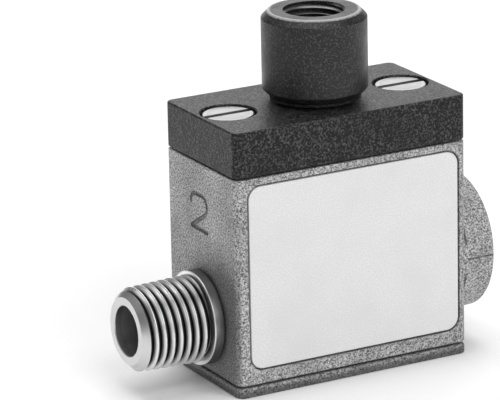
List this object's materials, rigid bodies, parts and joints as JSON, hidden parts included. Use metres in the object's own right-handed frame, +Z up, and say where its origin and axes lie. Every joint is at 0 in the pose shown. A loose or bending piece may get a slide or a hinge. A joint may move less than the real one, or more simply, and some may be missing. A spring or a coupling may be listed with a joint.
{
  "type": "pilot operated non-return valve",
  "caption": "Block-shaped pneumatic non-return valve with a tapered male thread, a female port boss and a screwed-in pilot port on top that opens the poppet.",
  "frame": {"origin": "centre of the bottom plate's underside, below the poppet's axis", "axes": "+Z up through the pilot port, +X out of the female port's boss, -X out of the male thread, -Y out of the name plate"},
  "size_m": [0.0584, 0.022, 0.0553],
  "materials": {
    "block": "fine blasted casting, light grey",
    "plate": "blasted, grey",
    "cover": "black, fine grain",
    "adapter": "black, turned",
    "nipple": "bright plated, turned",
    "screw": "bright plated",
    "name_plate": "white, satin, blank",
    "brass": "turned",
    "piston": "turned",
    "rod_steel": "ground",
    "spring_steel": "drawn wire",
    "rubber": "matt black"
  },
  "bodies": {
    "valve_body": {"valve_block": "block", "bottom_plate": "plate", "bottom_plate_seal": "rubber", "bottom_screw_1": "screw", "bottom_screw_2": "screw", "bottom_screw_3": "screw", "bottom_screw_4": "screw", "pilot_cover": "cover", "cover_seal": "rubber", "cover_screw_left": "screw", "cover_screw_right": "screw", "pilot_port_adapter": "adapter", "adapter_seal": "rubber", "threaded_nipple": "nipple", "name_plate": "name_plate", "guide_bush": "brass", "guide_bush_seal": "rubber", "rod_seal": "rubber", "bush_retaining_ring": "spring_steel", "piston_return_spring": "spring_steel", "poppet_spring": "spring_steel"},
    "piston": {"pilot_piston": "piston", "piston_seal": "rubber", "push_rod": "rod_steel", "push_rod_nut": "rod_steel"},
    "check_poppet": {"poppet": "brass", "poppet_seal": "rubber"}
  },
  "joints": [
    {"name": "pilot_stroke", "type": "slide", "parent": "valve_body", "child": "piston", "axis": [0, 0, -1], "range_m": [0, 0.0022], "stiffness_N_per_m": 2000, "springref_m": -0.001, "deforming": ["piston_return_spring"]},
    {"name": "poppet_lift", "type": "slide", "parent": "valve_body", "child": "check_poppet", "axis": [0, 0, -1], "range_m": [0, 0.0022], "stiffness_N_per_m": 800, "springref_m": -0.001, "deforming": ["poppet_spring"]}
  ],
  "couplings": [
    {"joint": "poppet_lift", "follows": "pilot_stroke", "ratio": 1}
  ]
}
